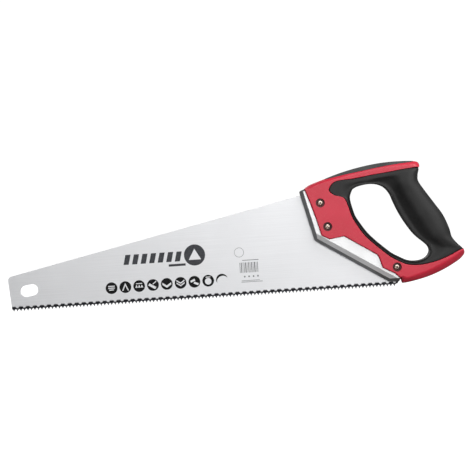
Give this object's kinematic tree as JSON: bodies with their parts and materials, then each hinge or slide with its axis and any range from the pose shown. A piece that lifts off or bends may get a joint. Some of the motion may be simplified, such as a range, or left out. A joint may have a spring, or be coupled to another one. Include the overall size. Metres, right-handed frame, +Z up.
{
  "type": "hand saw",
  "caption": "Panel hand saw: tapered steel blade with a hang slot, metal bolster cheeks with bevelled marking edges, and a closed two-colour handle with soft grip.",
  "frame": {"origin": "on the tooth line, in the middle of the blade's thickness, halfway along the whole saw", "axes": "+X along the tooth line from toe to handle, +Y across the blade to the user's right when the saw is held teeth down and pointing away, +Z up from the teeth to the back"},
  "size_m": [0.4754, 0.031, 0.1294],
  "materials": {
    "blade_steel": "fine brushed along the blade, hardened teeth blued black",
    "bolster_metal": "satin die-cast",
    "red_plastic": "semi-gloss moulded plastic",
    "black_rubber": "matte soft-touch rubber",
    "screw_metal": "pale plated metal"
  },
  "bodies": {
    "root": {"blade": "blade_steel", "bolster_left": "bolster_metal", "bolster_right": "bolster_metal", "handle_shell_left": "red_plastic", "handle_shell_right": "red_plastic", "grip_left": "black_rubber", "grip_right": "black_rubber", "top_pad_left": "black_rubber", "top_pad_right": "black_rubber", "screw_front_top": "screw_metal", "screw_front_low": "screw_metal", "screw_heel": "screw_metal", "nut_front_top": "screw_metal", "nut_front_low": "screw_metal", "nut_heel": "screw_metal"}
  },
  "joints": []
}
